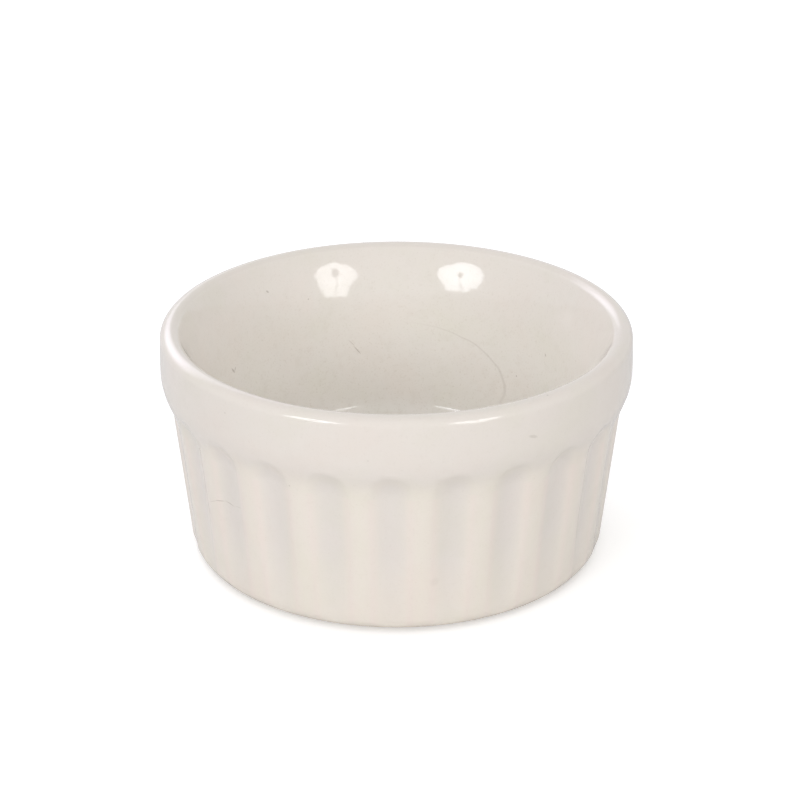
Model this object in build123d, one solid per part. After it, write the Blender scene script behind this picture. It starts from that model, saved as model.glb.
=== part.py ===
from build123d import *
from math import atan, cos, radians, sin, tan
import os

# Fluted ramekin in glazed stoneware, in millimetres. Z is up.
# The origin is on the table, at the centre of the foot ring.
# The outline is that of the glazed pot. The bare pot is the same form drawn in by the glaze.

# Overall
rim_diameter = 90.0
height = 45.0
glaze_thickness = 0.35

# Outer wall, along the crests of the ribs
wall_draft_angle = 5.85
base_corner_rounding = 3.2

# Foot ring, bare of glaze, round a shallow glazed hollow
foot_ring_width = 2.5
foot_ring_inner_slope = 1.2
foot_hollow_depth = 1.4
glaze_line_height = 0.9

# Band round the rim
band_height = 15.2
band_stand_out = 1.9
band_underside_rise = 4.9
band_face_height = 4.4
band_lean_at_lip = 0.3
band_hollow_rounding = 14.0
band_shoulder_rounding = 10.0
band_crown_rounding = 30.0

# Lip and inside
lip_rounding = 1.95
lip_flat_width = 0.05
flare_angle = 30.0
flare_straight = 0.1
flare_rounding = 32.0
inside_draft_angle = 6.0
floor_corner_rounding = 10.0
floor_thickness = 4.3

# Flutes, as a round-nosed cutter leaves them
flute_count = 24
flute_cutter_radius = 6.0
flute_depth = 0.9
flute_nose_centre_height = 29.1
flute_foot_height = 16.0
flute_run_out_angle = 4.2

rim_radius = rim_diameter / 2
wall_lean = radians(wall_draft_angle)
under_band_radius = rim_radius - band_stand_out
band_foot_height = height - band_height
table_radius = under_band_radius - band_foot_height * tan(wall_lean)
floor_height = foot_hollow_depth + floor_thickness


def tangent_length(rounding, turn):
    """Length of each side that a rounded corner takes up."""
    return rounding * tan(turn / 2)


foot_outer_radius = table_radius - tangent_length(base_corner_rounding, radians(90) - wall_lean)
foot_inner_radius = foot_outer_radius - foot_ring_width


def outline_corners():
    """Corners (radius, height, rounding) of half the glazed section, from the hollow round to the floor."""
    shoulder_height = band_foot_height + band_underside_rise
    face_top_height = shoulder_height + band_face_height
    lip_outer_radius = rim_radius - band_lean_at_lip
    face_lean = atan(band_lean_at_lip / (height - face_top_height))
    flare = radians(flare_angle)
    draft = radians(inside_draft_angle)
    lip_flat = tangent_length(lip_rounding, radians(90) - face_lean) + lip_flat_width
    lip_inner_tangent = tangent_length(lip_rounding, radians(90) - flare)
    lip_inner_radius = lip_outer_radius - lip_flat - lip_inner_tangent
    flare_length = lip_inner_tangent + flare_straight + tangent_length(flare_rounding, flare - draft)
    flare_radius = lip_inner_radius - flare_length * sin(flare)
    flare_height = height - flare_length * cos(flare)
    floor_radius = flare_radius - (flare_height - floor_height) * tan(draft)
    return [
        (foot_inner_radius - foot_ring_inner_slope, foot_hollow_depth, 0),
        (foot_inner_radius, 0, 0),
        (table_radius, 0, base_corner_rounding),
        (under_band_radius, band_foot_height, band_hollow_rounding),
        (rim_radius, shoulder_height, band_shoulder_rounding),
        (rim_radius, face_top_height, band_crown_rounding),
        (lip_outer_radius, height, lip_rounding),
        (lip_inner_radius, height, lip_rounding),
        (flare_radius, flare_height, flare_rounding),
        (floor_radius, floor_height, floor_corner_rounding),
    ]


def clay_corners(corners):
    """The glazed corners moved into the clay. Under the glaze, corners that stand out are bevelled."""
    points = [Vector(0, foot_hollow_depth)]
    points += [Vector(radius, rise) for radius, rise, rounding in corners]
    points += [Vector(0, floor_height)]
    moved = []
    for before, corner, after, (radius, rise, rounding) in zip(points, points[1:], points[2:], corners):
        arriving = (corner - before).normalized()
        leaving = (after - corner).normalized()
        into_clay = (arriving + leaving).rotate(Axis.Z, 90) / (1 + arriving.dot(leaving))
        place = corner + into_clay * glaze_thickness
        stands_out = arriving.cross(leaving).Z > 0
        if rounding == 0:
            moved.append((place.X, place.Y, 0))
        elif stands_out and rise > glaze_line_height:
            reach = tangent_length(rounding - glaze_thickness, radians(arriving.get_angle(leaving)))
            for end in (place - arriving * reach, place + leaving * reach):
                moved.append((end.X, end.Y, 0))
        else:
            change = -glaze_thickness if stands_out else glaze_thickness
            moved.append((place.X, place.Y, rounding + change))
    return moved


def half_section(corners, hollow_height, inside_height):
    """Half of a section right of the axis, closed along the axis."""
    points = [(radius, rise) for radius, rise, rounding in corners]
    roundings = [rounding for radius, rise, rounding in corners]
    path = FilletPolyline((0, hollow_height), *points, (0, inside_height), radius=roundings)
    axis_line = Line(path @ 1, path @ 0)
    return make_face([*path.edges(), axis_line])


def bare_foot_ring():
    """The foot ring's section, which the clay alone carries down to the table."""
    inner_radius = foot_inner_radius + glaze_thickness
    width = foot_outer_radius - inner_radius
    return Pos(inner_radius + width / 2, glaze_line_height / 2) * Rectangle(width, glaze_line_height)


def turned(section):
    """The round form with this half section."""
    return revolve(Plane.XZ * section, Axis.Z)


def flute_cutter(radius):
    """One flute's cutter: straight up the wall, round at its top, and leaning out of the wall at its foot."""
    up_wall = Vector(sin(wall_lean), 0, cos(wall_lean))
    outwards = Vector(cos(wall_lean), 0, -sin(wall_lean))
    run_out = radians(flute_run_out_angle)
    down_run_out = outwards * sin(run_out) - up_wall * cos(run_out)
    on_axis = Vector(table_radius, 0, 0) + outwards * (flute_cutter_radius - flute_depth)
    top = on_axis + up_wall * (flute_nose_centre_height / cos(wall_lean))
    foot = on_axis + up_wall * (flute_foot_height / cos(wall_lean))
    end = foot + down_run_out * (flute_foot_height / cos(run_out))
    path = Polyline(top, foot, end)
    shaft = sweep(Plane(top, z_dir=-up_wall) * Circle(radius), path=path, transition=Transition.RIGHT)
    return shaft + Pos(top) * Sphere(radius)


def fluted(form, radius):
    """The form with its flutes cut, evenly spaced round the axis."""
    cutter = flute_cutter(radius)
    return form - [place * cutter for place in PolarLocations(0, flute_count)]


corners = outline_corners()
glazed_half = half_section(corners, foot_hollow_depth, floor_height)
bare_half = half_section(
    clay_corners(corners), foot_hollow_depth + glaze_thickness, floor_height - glaze_thickness
)
glazed_form = fluted(turned(glazed_half), flute_cutter_radius)
bare_pot = fluted(turned(bare_half + bare_foot_ring()), flute_cutter_radius + glaze_thickness)
below_glaze_line = Pos(0, 0, glaze_line_height / 2) * Cylinder(rim_diameter, glaze_line_height)
glaze = glazed_form - bare_pot - below_glaze_line

coats = glaze.solids().sort_by(lambda coat: coat.volume)

nodes = {
    "stoneware_body": bare_pot,
    "underside_glaze": coats[0],
    "glaze_coat": coats[-1],
}
os.makedirs("parts", exist_ok=True)
for name, shape in nodes.items():
    export_step(shape, "parts/" + name + ".step")
    print(name, len(shape.solids()), round(shape.volume, 1))
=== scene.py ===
import math

import bmesh
import bpy
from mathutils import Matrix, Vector


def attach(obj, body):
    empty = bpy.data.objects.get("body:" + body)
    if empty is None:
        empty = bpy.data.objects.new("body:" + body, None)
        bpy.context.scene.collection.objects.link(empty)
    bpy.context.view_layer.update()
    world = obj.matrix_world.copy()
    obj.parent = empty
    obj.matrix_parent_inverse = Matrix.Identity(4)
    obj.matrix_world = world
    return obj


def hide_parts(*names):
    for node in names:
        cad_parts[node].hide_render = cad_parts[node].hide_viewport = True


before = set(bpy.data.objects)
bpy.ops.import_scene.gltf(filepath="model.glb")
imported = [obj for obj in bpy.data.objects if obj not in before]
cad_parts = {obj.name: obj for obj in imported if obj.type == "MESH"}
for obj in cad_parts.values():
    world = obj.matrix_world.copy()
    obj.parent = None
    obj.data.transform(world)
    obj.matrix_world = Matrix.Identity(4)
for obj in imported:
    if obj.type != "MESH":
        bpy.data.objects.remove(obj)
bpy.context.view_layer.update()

# The glaze coat is one glossy cream layer over the inside, the lip, the band, the flutes and the
# base corner. It is turned as one skin on the clay. The flutes are pressed in softly, because
# glaze rounds every edge, and the skin ends in a rounded edge just above the table.

# Sizes are in millimetres, which MM turns into Blender's metres
MM = 0.001
HEIGHT = 45.0
RIM_RADIUS = 45.0
BAND_FOOT_HEIGHT = 29.8
UNDER_BAND_RADIUS = 43.1
WALL_LEAN = math.radians(5.85)
TABLE_RADIUS = UNDER_BAND_RADIUS - BAND_FOOT_HEIGHT * math.tan(WALL_LEAN)
FLOOR_HEIGHT = 5.7
GLAZE_LINE_HEIGHT = 0.9

# Each corner of the outline: radius, height, rounding, steps in the rounding, and the longest
# step in the run before it
OUTLINE = [
    (TABLE_RADIUS, 0.0, 3.2, 9, 1.0),
    (UNDER_BAND_RADIUS, BAND_FOOT_HEIGHT, 14.0, 8, 1.25),
    (RIM_RADIUS, 34.7, 10.0, 8, 0.6),
    (RIM_RADIUS, 39.1, 30.0, 2, 1.5),
    (44.7, HEIGHT, 1.95, 9, 2.0),
    (41.671, HEIGHT, 1.95, 8, 2.0),
    (37.657, 38.048, 32.0, 10, 2.0),
    (34.257, FLOOR_HEIGHT, 10.0, 12, 2.6),
]
OUTLINE_START = (30.0, 0.0)
OUTLINE_END = (0.0, FLOOR_HEIGHT)
LONGEST_FLOOR_STEP = 6.0

FLUTE_COUNT = 24
LINES_PER_FLUTE = 16
TURNING_STEPS = FLUTE_COUNT * LINES_PER_FLUTE
SEAM_GAP = 0.01


def rounded_outline(bm, corners, start, end):
    """Draws half a section as a wire in the XZ plane, with corners rounded and runs stepped."""
    points = [start, *[corner[:2] for corner in corners], end]
    verts = [bm.verts.new((radius * MM, 0, rise * MM)) for radius, rise in points]
    longest_steps = [corner[4] for corner in corners] + [LONGEST_FLOOR_STEP]
    step_of_run = bm.edges.layers.float.new("longest_step")
    for first, second, longest in zip(verts, verts[1:], longest_steps):
        bm.edges.new((first, second))[step_of_run] = longest * MM
    for vert, (radius, rise, rounding, steps, longest) in zip(verts[1:-1], corners):
        before, after = [edge.other_vert(vert).co - vert.co for edge in vert.link_edges]
        reach = rounding * MM * math.tan((math.pi - before.angle(after)) / 2)
        bmesh.ops.bevel(bm, geom=[vert], offset=reach, offset_type='OFFSET', segments=steps,
                        profile=0.5, affect='VERTICES', material=-1)
    for edge in list(bm.edges):
        longest = edge[step_of_run]
        cuts = int(edge.calc_length() / longest) if longest else 0
        if cuts:
            bmesh.ops.subdivide_edges(bm, edges=[edge], cuts=cuts)


def turn(bm, steps):
    """Spins the outline once round the Z axis and closes the seam and the pole."""
    bmesh.ops.spin(bm, geom=bm.verts[:] + bm.edges[:], cent=(0, 0, 0), axis=(0, 0, 1),
                   dvec=(0, 0, 0), angle=2 * math.pi, steps=steps, use_merge=True,
                   use_duplicate=False)
    bmesh.ops.remove_doubles(bm, verts=bm.verts[:], dist=SEAM_GAP * MM)
    bmesh.ops.recalc_face_normals(bm, faces=bm.faces[:])


def add_piece(bm, name, material):
    """Makes a smooth object of a finished bmesh."""
    mesh = bpy.data.meshes.new(name)
    bm.to_mesh(mesh)
    bm.free()
    mesh.shade_smooth()
    mesh.materials.append(material)
    piece = bpy.data.objects.new(name, mesh)
    bpy.context.scene.collection.objects.link(piece)
    return piece


skin = bmesh.new()
rounded_outline(skin, OUTLINE, OUTLINE_START, OUTLINE_END)
bmesh.ops.bisect_plane(skin, geom=skin.verts[:] + skin.edges[:], clear_inner=True,
                       plane_co=(0, 0, GLAZE_LINE_HEIGHT * MM), plane_no=(0, 0, 1))
turn(skin, TURNING_STEPS)

# The flutes, as the clay's round-nosed cutter leaves them, blended into the wall over the edge
# softness. Half a flute's pitch has nine mesh lines, given in degrees from the flute's middle,
# closest together at the flute's side.
LINES_ACROSS = [0, 1.2, 2.3, 3.05, 3.6, 4.15, 4.75, 5.8, 7.5]
CUTTER_RADIUS = 6.0
FLUTE_DEPTH = 0.9
CUTTER_NOSE_HEIGHT = 28.7
FLUTE_FOOT_HEIGHT = 16.0
RUN_OUT_ANGLE = math.radians(4.2)
EDGE_SOFTNESS = 1.4
OUTER_WALL_RADIUS = 39.2
FLUTED_HEIGHTS = (1.5, 34.5)

# For the glaze's colour, the mesh keeps where the glaze pools in the flutes, which also carries
# painted shade there and over everything above the band's foot, where it thins over a rib's edge,
# and how far inside a place is, which grades painted light that pales the inside. The middle of
# the wall leans outwards from its radius at the table.
# Over this rise above the band's foot, everything higher is darkened to this share, as painted
# shade.
BAND_SHADE = 0.8
BAND_SHADE_RISE = 4.0
RIB_EDGE_ANGLE = 4.7
RIB_EDGE_SPREAD = 1.7
POLE_RADIUS = 1.0
LIP_MIDDLE_RADIUS = 41.5
WALL_MIDDLE_RADIUS = 36.0
WALL_MIDDLE_LEAN = 1 / 7
# The inside's share grows over this depth below this height. It grades the painted light that
# pales the inside.
INSIDE_FADE_TOP = 49.0
INSIDE_FADE_DEPTH = 24.0


def soft_lower(first, second, softness):
    """The lower of two values, rounded off where they meet."""
    overlap = max(softness - abs(first - second), 0) / softness
    return min(first, second) - overlap * overlap * softness / 4


def cutter_surface(angle, rise):
    """Radius of the cutter's inner side, at an angle from the flute's middle. None beside it."""
    axis_radius = TABLE_RADIUS + rise * math.tan(WALL_LEAN) + CUTTER_RADIUS - FLUTE_DEPTH
    if rise < FLUTE_FOOT_HEIGHT:
        axis_radius += (FLUTE_FOOT_HEIGHT - rise) * math.tan(RUN_OUT_ANGLE)
    above_nose = max(rise - CUTTER_NOSE_HEIGHT, 0)
    across = axis_radius * math.sin(angle)
    inwards_squared = CUTTER_RADIUS ** 2 - above_nose ** 2 - across ** 2
    if inwards_squared <= 0:
        return None
    return axis_radius * math.cos(angle) - math.sqrt(inwards_squared)


def is_inside(radius, rise):
    """Whether a place is on the inside's wall or floor."""
    wall_middle = WALL_MIDDLE_RADIUS + rise * WALL_MIDDLE_LEAN
    return rise > FLOOR_HEIGHT - 1 and radius < min(LIP_MIDDLE_RADIUS, wall_middle)


line_gap = 2 * math.pi / TURNING_STEPS
half_lines = LINES_PER_FLUTE // 2
pooling_and_shade = skin.verts.layers.float.new("pooling_and_shade")
rib_edge = skin.verts.layers.float.new("rib_edge")
inside = skin.verts.layers.float.new("inside")
for vert in skin.verts:
    radius = math.hypot(vert.co.x, vert.co.y) / MM
    rise = vert.co.z / MM
    if radius < POLE_RADIUS:
        vert[inside] = 1
        continue
    line = round(math.atan2(vert.co.y, vert.co.x) / line_gap)
    line_in_flute = (line + half_lines) % LINES_PER_FLUTE - half_lines
    degrees_from_middle = LINES_ACROSS[abs(line_in_flute)]
    from_middle = math.copysign(math.radians(degrees_from_middle), line_in_flute)
    angle = (line - line_in_flute) * line_gap + from_middle
    pressed = radius
    if radius > OUTER_WALL_RADIUS and FLUTED_HEIGHTS[0] < rise < FLUTED_HEIGHTS[1]:
        cutter_radius_here = cutter_surface(from_middle, rise)
        if cutter_radius_here is not None:
            pressed = soft_lower(radius, cutter_radius_here, EDGE_SOFTNESS)
            if rise < CUTTER_NOSE_HEIGHT:
                from_rib_edge = abs(degrees_from_middle - RIB_EDGE_ANGLE)
                vert[rib_edge] = max(1 - from_rib_edge / RIB_EDGE_SPREAD, 0)
    # Deeper in a flute the glaze is cooler, and darker as painted shade. Above the band's foot
    # everything is darkened as painted shade.
    vert[pooling_and_shade] = (radius - pressed) / FLUTE_DEPTH
    if rise > BAND_FOOT_HEIGHT:
        up_band = min((rise - BAND_FOOT_HEIGHT) / BAND_SHADE_RISE, 1)
        vert[pooling_and_shade] = max(vert[pooling_and_shade], BAND_SHADE * up_band)
    # Deeper inside, the glaze is painted paler, as painted light.
    if is_inside(radius, rise):
        vert[inside] = min((INSIDE_FADE_TOP - rise) / INSIDE_FADE_DEPTH, 1)
    vert.co.xy = (pressed * MM * math.cos(angle), pressed * MM * math.sin(angle))

# The glaze is warm where it is thin on the ribs and cooler where it lies thick in the flutes. The
# flutes, the band and the lip are also darkened, as painted shade, and the inside is painted paler
# towards its floor, as painted light. It is a little cloudy, with fine grain from the clay, a few
# iron specks, the marks of the kiln and of use, and a thin dark line on the inside at the back
# that is a painted reflection edge. It thins to bare clay at its edge.

THIN_GLAZE = (0.80, 0.742, 0.664, 1)
# The thick glaze's tone is cooler, and darker as painted shade.
SHADED_THICK_GLAZE = (0.752, 0.698, 0.649, 1)
RIB_EDGE_GLAZE = (0.80, 0.721, 0.66, 1)
# The inside's tone is painted light, paler than the glaze outside.
PAINTED_LIGHT_INSIDE_GLAZE = (0.875, 0.843, 0.793, 1)
ROSY_CLOUD = (1.0, 0.988, 0.985, 1)
GREEN_CLOUD = (0.985, 0.993, 0.975, 1)
GRAIN = (0.90, 0.885, 0.86, 1)
SPECK = (0.26, 0.20, 0.145, 1)
MARK = (0.33, 0.27, 0.215, 1)
BARE_CLAY = (0.60, 0.50, 0.385, 1)

# Sizes in millimetres
CLOUD_SIZE = 11.0
GRAIN_SIZE = 1.7
FINE_GRAIN_SIZE = 0.42
SPECK_SPACING = 5.5
RIPPLE_SIZE = 4.5
FINE_RIPPLE_SIZE = 1.2
RIPPLE_HEIGHT = 0.045
GLAZE_EDGE_HEIGHTS = (1.35, 0.95)

# Each pattern's range, from where it starts to show to where it shows fully
ROSY_CLOUD_RANGE = (0.5, 0.68)
GREEN_CLOUD_RANGE = (0.5, 0.32)
GRAIN_RANGE = (0.52, 0.75)
FINE_GRAIN_RANGE = (0.58, 0.8)
SPECK_RANGE = (0.042, 0.024)
CHOSEN_SPECKS_RANGE = (0.64, 0.80)
HAZE_RANGE = (0.3, 0.7)

# How strongly each shows, first outside and then inside where there are two
GRAIN_STRENGTH = 0.3
FINE_GRAIN_STRENGTH = 0.8
GRAIN_SHARES = (0.35, 1.0)
SPECK_SHARES = (0.2, 0.5)
SPECK_PIT = 0.6
FINE_RIPPLE_SHARE = 0.12
GLAZE_EDGE_STRENGTH = 0.5

GLAZE_IOR = 1.58
GLAZE_ROUGHNESSES = (0.045, 0.09)

# Each mark: its two ends in millimetres, its half width, and how dark it is
MARKS = [
    ((-33.9, -24.6, 18.6), (-32.3, -27.0, 20.0), 0.13, 0.18),
    ((-32.8, -26.2, 19.8), (-30.9, -28.6, 20.5), 0.14, 0.35),
    ((-31.3, -28.1, 20.6), (-29.2, -30.4, 19.9), 0.16, 0.50),
    ((-29.8, -29.8, 20.1), (-27.4, -32.0, 21.0), 0.13, 0.20),
    ((23.7, -38.2, 39.1), (25.6, -37.0, 38.4), 0.38, 0.22),
    ((6.9, -40.6, 11.5), (8.8, -40.3, 10.6), 1.1, 0.07),
    ((-11.0, 34.7, 26.2), (-9.4, 35.0, 24.5), 0.12, 0.28),
    ((-9.9, 34.9, 24.8), (-8.2, 35.2, 22.6), 0.14, 0.45),
    ((-33.4, 14.9, 28.1), (-32.8, 15.9, 26.6), 0.28, 0.45),
    ((-32.7, 16.4, 27.9), (-33.0, 15.8, 27.0), 0.20, 0.40),
    ((-27.2, 27.9, 39.7), (-26.6, 28.3, 39.1), 0.22, 0.50),
    ((29.5, 21.5, 29.0), (29.9, 21.3, 28.4), 0.20, 0.40),
]
MARK_DEPTH = 1.5
MARK_CORE = 0.5

# The reflection edge is a thin dark line painted on the inside at the back, where the edge of a
# reflection falls. It follows part of an oval, and fades in along each axis over these places. Its
# width is a share of the oval.
REFLECTION_EDGE_MIDDLE_HEIGHT = 18.0
REFLECTION_EDGE_HALF_WIDTH = 22.0
REFLECTION_EDGE_HALF_HEIGHT = 11.3
REFLECTION_EDGE_FADES = {"X": (0, 14), "Y": (5, 15), "Z": (13, 18)}
REFLECTION_EDGE_WIDTH_RANGE = (0.018, 0.004)
REFLECTION_EDGE_WANDER = 0.03
REFLECTION_EDGE_WANDER_SIZE = 5.0
REFLECTION_EDGE_STRENGTH = 0.18


def add_node(tree, kind, inputs, **settings):
    """Adds a node with these settings. Each input is a value or another node's output."""
    node = tree.nodes.new(kind)
    for setting, value in settings.items():
        setattr(node, setting, value)
    for socket, value in inputs.items():
        if isinstance(value, bpy.types.NodeSocket):
            tree.links.new(value, node.inputs[socket])
        else:
            node.inputs[socket].default_value = value
    return node


def mixed(tree, factor, first, second, blend='MIX'):
    """The colour between two colours, or the first multiplied by the second, by a factor."""
    return add_node(tree, "ShaderNodeMix", {0: factor, 6: first, 7: second},
                    data_type='RGBA', blend_type=blend).outputs[2]


def spread(tree, value, low, high, from_low=0.0, from_high=1.0):
    """The value's range, stretched from one pair of ends to another and held there."""
    return add_node(tree, "ShaderNodeMapRange", {
        "Value": value, "From Min": low, "From Max": high,
        "To Min": from_low, "To Max": from_high}).outputs[0]


def calculated(tree, operation, first, second=0.0):
    """Two numbers added, subtracted and so on, or one number's size or sine."""
    return add_node(tree, "ShaderNodeMath", {0: first, 1: second}, operation=operation).outputs[0]


def product(tree, first, *others):
    """Numbers multiplied together."""
    for other in others:
        first = calculated(tree, 'MULTIPLY', first, other)
    return first


def length(tree, vector):
    """How long a vector is."""
    return add_node(tree, "ShaderNodeVectorMath", {0: vector}, operation='LENGTH').outputs["Value"]


def split(tree, vector):
    """A vector's X, Y and Z."""
    return add_node(tree, "ShaderNodeSeparateXYZ", {0: vector}).outputs


def noise(tree, place, feature_size, detail):
    """Soft noise over the surface, with features of this size in millimetres."""
    return add_node(tree, "ShaderNodeTexNoise", {
        "Vector": place, "Scale": 1 / (feature_size * MM), "Detail": detail}).outputs[0]


def attribute(tree, name):
    """A value stored on the mesh."""
    return add_node(tree, "ShaderNodeAttribute", {}, attribute_name=name).outputs["Fac"]


def one_mark(tree, place, first_end, second_end, half_width, darkness):
    """A mark along the line between its ends, fading outwards from its core."""
    start, end = Vector(first_end) * MM, Vector(second_end) * MM
    turned = (end - start).to_track_quat('X', 'Z').to_euler()
    size = ((end - start).length / 2, MARK_DEPTH * MM, half_width * MM)
    nearby = add_node(tree, "ShaderNodeMapping", {
        "Vector": place, "Location": (start + end) / 2, "Rotation": turned, "Scale": size},
        vector_type='TEXTURE').outputs[0]
    nearness = add_node(tree, "ShaderNodeTexGradient", {"Vector": nearby},
                        gradient_type='SPHERICAL').outputs["Fac"]
    return spread(tree, nearness, 0, MARK_CORE, 0, darkness)


def painted_reflection_edge(tree, place):
    """The painted reflection edge, from 0 beside it to 1 along its middle."""
    x, y, z = split(tree, place)
    above_middle = calculated(tree, 'SUBTRACT', z, REFLECTION_EDGE_MIDDLE_HEIGHT * MM)
    on_oval = add_node(tree, "ShaderNodeCombineXYZ", {
        "X": product(tree, x, 1 / (REFLECTION_EDGE_HALF_WIDTH * MM)),
        "Z": product(tree, above_middle, 1 / (REFLECTION_EDGE_HALF_HEIGHT * MM))}).outputs[0]
    wander = spread(tree, noise(tree, place, REFLECTION_EDGE_WANDER_SIZE, 1), 0, 1, -REFLECTION_EDGE_WANDER, REFLECTION_EDGE_WANDER)
    from_reflection_edge = calculated(tree, 'SUBTRACT', length(tree, on_oval),
                          calculated(tree, 'ADD', wander, 1))
    reflection_edge = spread(tree, calculated(tree, 'ABSOLUTE', from_reflection_edge), *REFLECTION_EDGE_WIDTH_RANGE)
    for along, (start, end) in zip((x, y, z), REFLECTION_EDGE_FADES.values()):
        reflection_edge = product(tree, reflection_edge, spread(tree, along, start * MM, end * MM))
    return reflection_edge


def new_material(name):
    """A new material, with its node tree and its shader."""
    material = bpy.data.materials.new(name)
    material.use_nodes = True
    return material, material.node_tree, material.node_tree.nodes["Principled BSDF"]


glaze, tree, shader = new_material("cream_glaze")
shader.inputs["IOR"].default_value = GLAZE_IOR
place = add_node(tree, "ShaderNodeTexCoord", {}).outputs["Object"]
how_inside = attribute(tree, "inside")

# The thick glaze's cooler tone in the flutes, with painted shade there and over the band and lip.
colour = mixed(tree, attribute(tree, "pooling_and_shade"), THIN_GLAZE, SHADED_THICK_GLAZE)
colour = mixed(tree, attribute(tree, "rib_edge"), colour, RIB_EDGE_GLAZE)
# Painted light: the inside is paler towards its floor.
colour = mixed(tree, how_inside, colour, PAINTED_LIGHT_INSIDE_GLAZE)
clouds = noise(tree, place, CLOUD_SIZE, 3)
colour = mixed(tree, spread(tree, clouds, *ROSY_CLOUD_RANGE), colour, ROSY_CLOUD, 'MULTIPLY')
colour = mixed(tree, spread(tree, clouds, *GREEN_CLOUD_RANGE), colour, GREEN_CLOUD, 'MULTIPLY')
coarse_grain = noise(tree, place, GRAIN_SIZE, 2)
fine_grain = noise(tree, place, FINE_GRAIN_SIZE, 1)
grain = calculated(tree, 'ADD', spread(tree, coarse_grain, *GRAIN_RANGE, 0, GRAIN_STRENGTH),
                   spread(tree, fine_grain, *FINE_GRAIN_RANGE, 0, FINE_GRAIN_STRENGTH))
grain = product(tree, grain, spread(tree, how_inside, 0, 1, *GRAIN_SHARES))
colour = mixed(tree, grain, colour, GRAIN, 'MULTIPLY')

cells = add_node(tree, "ShaderNodeTexVoronoi", {
    "Vector": place, "Scale": 1 / (SPECK_SPACING * MM)}).outputs
speck = product(tree, spread(tree, cells["Distance"], *SPECK_RANGE),
                spread(tree, cells["Color"], *CHOSEN_SPECKS_RANGE))
speck_shows = product(tree, speck, spread(tree, how_inside, 0, 1, *SPECK_SHARES))
colour = mixed(tree, speck_shows, colour, SPECK)

marks = 0.0
for first_end, second_end, half_width, darkness in MARKS:
    mark = one_mark(tree, place, first_end, second_end, half_width, darkness)
    marks = calculated(tree, 'MAXIMUM', marks, mark)
colour = mixed(tree, marks, colour, MARK)
# A painted reflection edge: a thin dark line on the inside at the back.
reflection_edge = product(tree, painted_reflection_edge(tree, place), how_inside, REFLECTION_EDGE_STRENGTH)
colour = mixed(tree, reflection_edge, colour, MARK)

height_here = split(tree, place)["Z"]
edge_top, edge_foot = [height * MM for height in GLAZE_EDGE_HEIGHTS]
edge = spread(tree, height_here, edge_top, edge_foot, 0, GLAZE_EDGE_STRENGTH)
colour = mixed(tree, edge, colour, BARE_CLAY)
tree.links.new(colour, shader.inputs["Base Color"])

haze = spread(tree, clouds, *HAZE_RANGE, *GLAZE_ROUGHNESSES)
tree.links.new(haze, shader.inputs["Roughness"])
ripple = calculated(tree, 'SUBTRACT', noise(tree, place, RIPPLE_SIZE, 1),
                    product(tree, speck, SPECK_PIT))
fine_ripple = product(tree, noise(tree, place, FINE_RIPPLE_SIZE, 1), FINE_RIPPLE_SHARE)
bump = add_node(tree, "ShaderNodeBump", {
    "Strength": 1.0, "Distance": RIPPLE_HEIGHT * MM,
    "Height": calculated(tree, 'ADD', ripple, fine_ripple)})
tree.links.new(bump.outputs[0], shader.inputs["Normal"])

GLAZE_THICKNESS = 0.35
GLAZE_EDGE_ROUNDING = 0.12
GLAZE_EDGE_STEPS = 3
GLAZE_EDGE_ANGLE = math.radians(60)

glaze_skin = add_piece(skin, "glaze_skin", glaze)
coat = glaze_skin.modifiers.new("coat", 'SOLIDIFY')
coat.thickness = GLAZE_THICKNESS * MM
coat.offset = -1
rounded_edge = glaze_skin.modifiers.new("rounded_edge", 'BEVEL')
rounded_edge.width = GLAZE_EDGE_ROUNDING * MM
rounded_edge.segments = GLAZE_EDGE_STEPS
rounded_edge.limit_method = 'ANGLE'
rounded_edge.angle_limit = GLAZE_EDGE_ANGLE
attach(glaze_skin, "root")
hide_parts("glaze_coat")

# The underside glaze is the same glaze in the shallow hollow inside the foot ring. It was poured
# in and swirled round, and it stops where the foot ring was wiped bare.

bpy.data.objects["underside_glaze"].material_slots[0].material = glaze

# The stoneware body is the pot itself, pressed and fluted in pale buff clay. Only its foot ring
# shows: dry, slightly sandy, and rubbed smooth and grey where it stands on the table.

CLAY = (0.65, 0.53, 0.39, 1)
DARK_CLAY = (0.50, 0.40, 0.29, 1)
RUBBED_CLAY = (0.50, 0.43, 0.35, 1)
SAND = (0.25, 0.19, 0.14, 1)
CLAY_IOR = 1.45

# Sizes in millimetres
CLAY_PATCH_SIZE = 3.0
SAND_SIZE = 0.3
RUBBED_HEIGHT = 0.25
RUBBED_PATCH_SIZE = 6.0
CLAY_PORE_SIZE = 0.25
CLAY_PORE_DEPTH = 0.06

# Each pattern's range, and how strongly it shows
DARK_CLAY_RANGE = (0.35, 0.7)
SAND_RANGE = (0.62, 0.7)
RUBBED_RANGE = (0.35, 0.65)
SAND_STRENGTH = 0.55
RUBBED_STRENGTH = 0.6
SAND_RISE = 0.4
PORE_STRENGTH = 0.8
CLAY_ROUGHNESSES = (0.92, 0.6)

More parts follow.
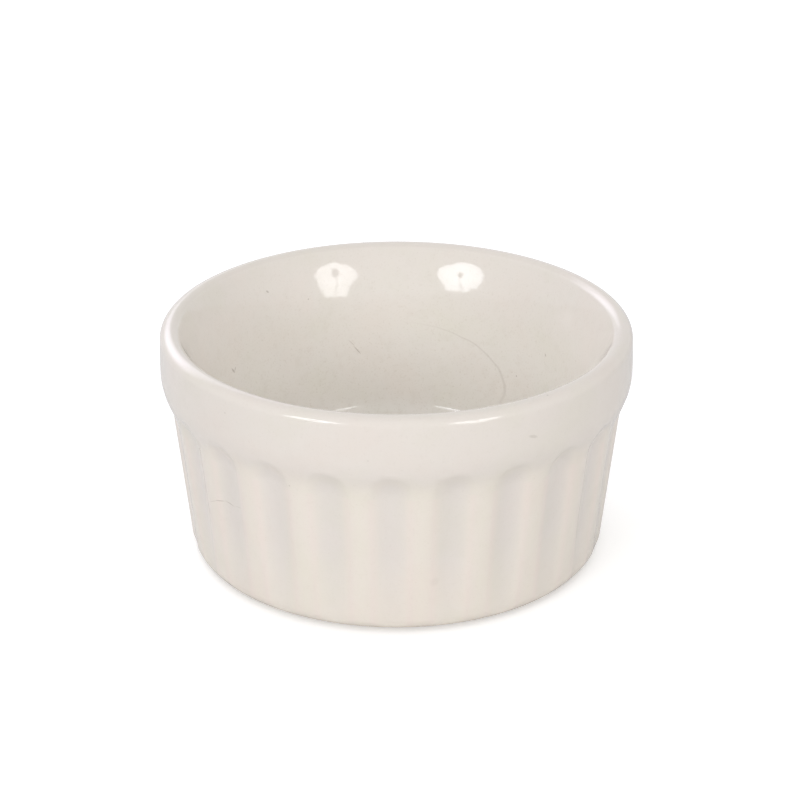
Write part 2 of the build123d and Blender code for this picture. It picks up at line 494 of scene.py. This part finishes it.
stoneware, tree, shader = new_material("bare_stoneware")
shader.inputs["IOR"].default_value = CLAY_IOR
place = add_node(tree, "ShaderNodeTexCoord", {}).outputs["Object"]
patches = noise(tree, place, CLAY_PATCH_SIZE, 4)
colour = mixed(tree, spread(tree, patches, *DARK_CLAY_RANGE), CLAY, DARK_CLAY)
sand = spread(tree, noise(tree, place, SAND_SIZE, 2), *SAND_RANGE)
colour = mixed(tree, product(tree, sand, SAND_STRENGTH), colour, SAND)
rubbed_patches = noise(tree, place, RUBBED_PATCH_SIZE, 3)
rubbed = product(tree, spread(tree, split(tree, place)["Z"], RUBBED_HEIGHT * MM, 0),
                 spread(tree, rubbed_patches, *RUBBED_RANGE))
colour = mixed(tree, product(tree, rubbed, RUBBED_STRENGTH), colour, RUBBED_CLAY)
tree.links.new(colour, shader.inputs["Base Color"])
tree.links.new(spread(tree, rubbed, 0, 1, *CLAY_ROUGHNESSES), shader.inputs["Roughness"])
pores = calculated(tree, 'ADD', noise(tree, place, CLAY_PORE_SIZE, 2),
                   product(tree, sand, SAND_RISE))
bump = add_node(tree, "ShaderNodeBump", {
    "Strength": PORE_STRENGTH, "Distance": CLAY_PORE_DEPTH * MM, "Height": pores})
tree.links.new(bump.outputs[0], shader.inputs["Normal"])
bpy.data.objects["stoneware_body"].material_slots[0].material = stoneware

# The camera is at the photograph's angle: 26 degrees above the table, with a flute just left of
# the middle. It points a little above the ramekin's middle.

TARGET = Vector((0, 0, 0.02025))
CAMERA_DISTANCE = 0.3933
CAMERA_ELEVATION = math.radians(25.69)
CAMERA_AZIMUTH = math.radians(1.3)
CAMERA_PITCH = math.radians(24.63)
CAMERA_TURN = math.radians(-0.11)
CAMERA_LENS = 90.7
CAMERA_SENSOR = 36


def placed_round(azimuth, elevation, distance):
    """A place round the ramekin. Azimuth is counted from the front towards the right."""
    level = math.cos(elevation)
    direction = Vector((
        math.sin(azimuth) * level, -math.cos(azimuth) * level, math.sin(elevation)))
    return TARGET + distance * direction


camera = bpy.data.objects.new("camera", bpy.data.cameras.new("camera"))
bpy.context.scene.collection.objects.link(camera)
camera.data.sensor_width = CAMERA_SENSOR
camera.data.lens = CAMERA_LENS
camera.location = placed_round(CAMERA_AZIMUTH, CAMERA_ELEVATION, CAMERA_DISTANCE)
camera.rotation_euler = (math.pi / 2 - CAMERA_PITCH, 0, CAMERA_AZIMUTH + CAMERA_TURN)
bpy.context.scene.camera = camera

# The studio has two umbrella lamps in front, left and right of the camera, a curtained window
# behind, and a soft fill from above. Each umbrella has a dark hub, eight faint ribs and a rod,
# which show where the glaze mirrors it. The fill isn't mirrored.

LAMP_DISTANCE = 1.1

# Each lamp: azimuth and elevation in degrees, width and height in metres, power, and tint
LAMPS = {
    "left_lamp": (-38.5, 20.0, 0.50, 0.36, 2.4, (0.93, 0.96, 1)),
    "right_lamp": (36.5, 13.5, 0.54, 0.62, 3.5, (0.985, 0.98, 0.98)),
    "window": (-146, 27, 1.5, 0.9, 3.8, (0.88, 0.86, 1)),
    "front_fill": (-20, 42, 1.2, 0.8, 1.7, (1, 0.96, 0.93)),
}

# Each umbrella: its hub's height above its middle, and how fast its cloth narrows below the hub.
# These and the sizes below are shares of the lamp's width and height.
UMBRELLAS = {"left_lamp": (0.07, 0), "right_lamp": (0.27, 0.6)}
CLOTH_RADIUS = 0.5
HEM_SOFTNESS = 0.03
HUB_EDGE = (0.08, 0.10)
ROD_SIDE = (0.0072, 0.012)
ROD_TOP = (-0.01, 0.01)
RIB_COUNT = 8
RIB_WIDTH = 0.18

# How strongly parts of a lamp glow
RIB_GLOW = 0.7
HUB_AND_HEM_GLOWS = (1.25, 0.85)
WINDOW_FADE = (0.42, 0.05)
WINDOW_GLOW = 3.4


def from_lamp_middle(tree, above_middle=0.0):
    """The place on a lamp, counted from its middle or from above it. The lamp is 1 across."""
    place = add_node(tree, "ShaderNodeNewGeometry", {}).outputs["Parametric"]
    return add_node(tree, "ShaderNodeVectorMath", {0: place, 1: (0.5, 0.5 + above_middle, 0)},
                    operation='SUBTRACT').outputs["Vector"]


def umbrella_cloth(tree, hub_height, narrowing):
    """The glow over an umbrella, from 0 to a little over 1."""
    from_hub = from_lamp_middle(tree, hub_height)
    x, y = split(tree, from_hub)[:2]
    distance = length(tree, from_hub)
    beside_rod = calculated(tree, 'ABSOLUTE', x)
    rib_angle = product(tree, calculated(tree, 'ARCTAN2', y, x), RIB_COUNT / 2)
    off_ribs = calculated(tree, 'ABSOLUTE', calculated(tree, 'SINE', rib_angle))
    off_rod = calculated(tree, 'MAXIMUM', spread(tree, beside_rod, *ROD_SIDE),
                         spread(tree, y, *ROD_TOP))
    reach = calculated(tree, 'SUBTRACT', beside_rod, product(tree, y, narrowing))
    return product(tree, spread(tree, off_ribs, 0, RIB_WIDTH, RIB_GLOW, 1),
                   spread(tree, distance, 0, CLOTH_RADIUS, *HUB_AND_HEM_GLOWS),
                   spread(tree, distance, *HUB_EDGE), off_rod,
                   spread(tree, reach, CLOTH_RADIUS, CLOTH_RADIUS - HEM_SOFTNESS))


def curtained_window(tree):
    """The glow over the window, which fades softly towards its edges."""
    return spread(tree, length(tree, from_lamp_middle(tree)), *WINDOW_FADE, 0, WINDOW_GLOW)


for name, (azimuth, elevation, width, height, power, tint) in LAMPS.items():
    light = bpy.data.lights.new(name, 'AREA')
    light.shape = 'ELLIPSE' if name in UMBRELLAS else 'RECTANGLE'
    light.size = width
    light.size_y = height
    light.energy = power
    light.color = tint
    lamp = bpy.data.objects.new(name, light)
    bpy.context.scene.collection.objects.link(lamp)
    lamp.visible_glossy = name != "front_fill"
    lamp.location = placed_round(
        CAMERA_AZIMUTH + math.radians(azimuth), math.radians(elevation), LAMP_DISTANCE)
    lamp.rotation_euler = (TARGET - lamp.location).to_track_quat('-Z', 'Y').to_euler()
    if lamp.visible_glossy:
        light.use_nodes = True
        tree = light.node_tree
        if name in UMBRELLAS:
            glow = umbrella_cloth(tree, *UMBRELLAS[name])
        else:
            glow = curtained_window(tree)
        tree.links.new(glow, tree.nodes["Emission"].inputs["Strength"])

# The room is pale. The camera and the glaze see it white, and it lights the ramekin a little
# less strongly, so that colours come out as they are written.

WHITE = (1, 1, 1, 1)
ROOM_LIGHT = 0.66
room = bpy.data.worlds.new("room")
bpy.context.scene.world = room
room.use_nodes = True
tree = room.node_tree
rays = add_node(tree, "ShaderNodeLightPath", {}).outputs
seen = calculated(tree, 'MAXIMUM', rays["Is Camera Ray"], rays["Is Glossy Ray"])
seen = calculated(tree, 'MAXIMUM', seen, rays["Is Transmission Ray"])
background = tree.nodes["Background"]
background.inputs["Color"].default_value = WHITE
tree.links.new(spread(tree, seen, 0, 1, ROOM_LIGHT, 1), background.inputs["Strength"])

# The table is painted plain white and wide enough to fill the view. It keeps the ramekin's
# shadow, and what the camera sees of it is lifted towards white.

TABLE_TOP = 1.5
TABLE_SIDES = 64
TABLE_PAINT = (0.8, 0.8, 0.8, 1)
TABLE_ROUGHNESS = 0.7
TABLE_LIFT = 0.40
paint, tree, shader = new_material("table_paint")
shader.inputs["Base Color"].default_value = TABLE_PAINT
shader.inputs["Roughness"].default_value = TABLE_ROUGHNESS
shader.inputs["Emission Color"].default_value = WHITE
seen = add_node(tree, "ShaderNodeLightPath", {}).outputs["Is Camera Ray"]
tree.links.new(product(tree, seen, TABLE_LIFT), shader.inputs["Emission Strength"])
table = bmesh.new()
bmesh.ops.create_circle(table, cap_ends=True, segments=TABLE_SIDES, radius=TABLE_TOP)
table_top = add_piece(table, "table_top", paint)

bpy.context.scene.view_settings.view_transform = 'Standard'
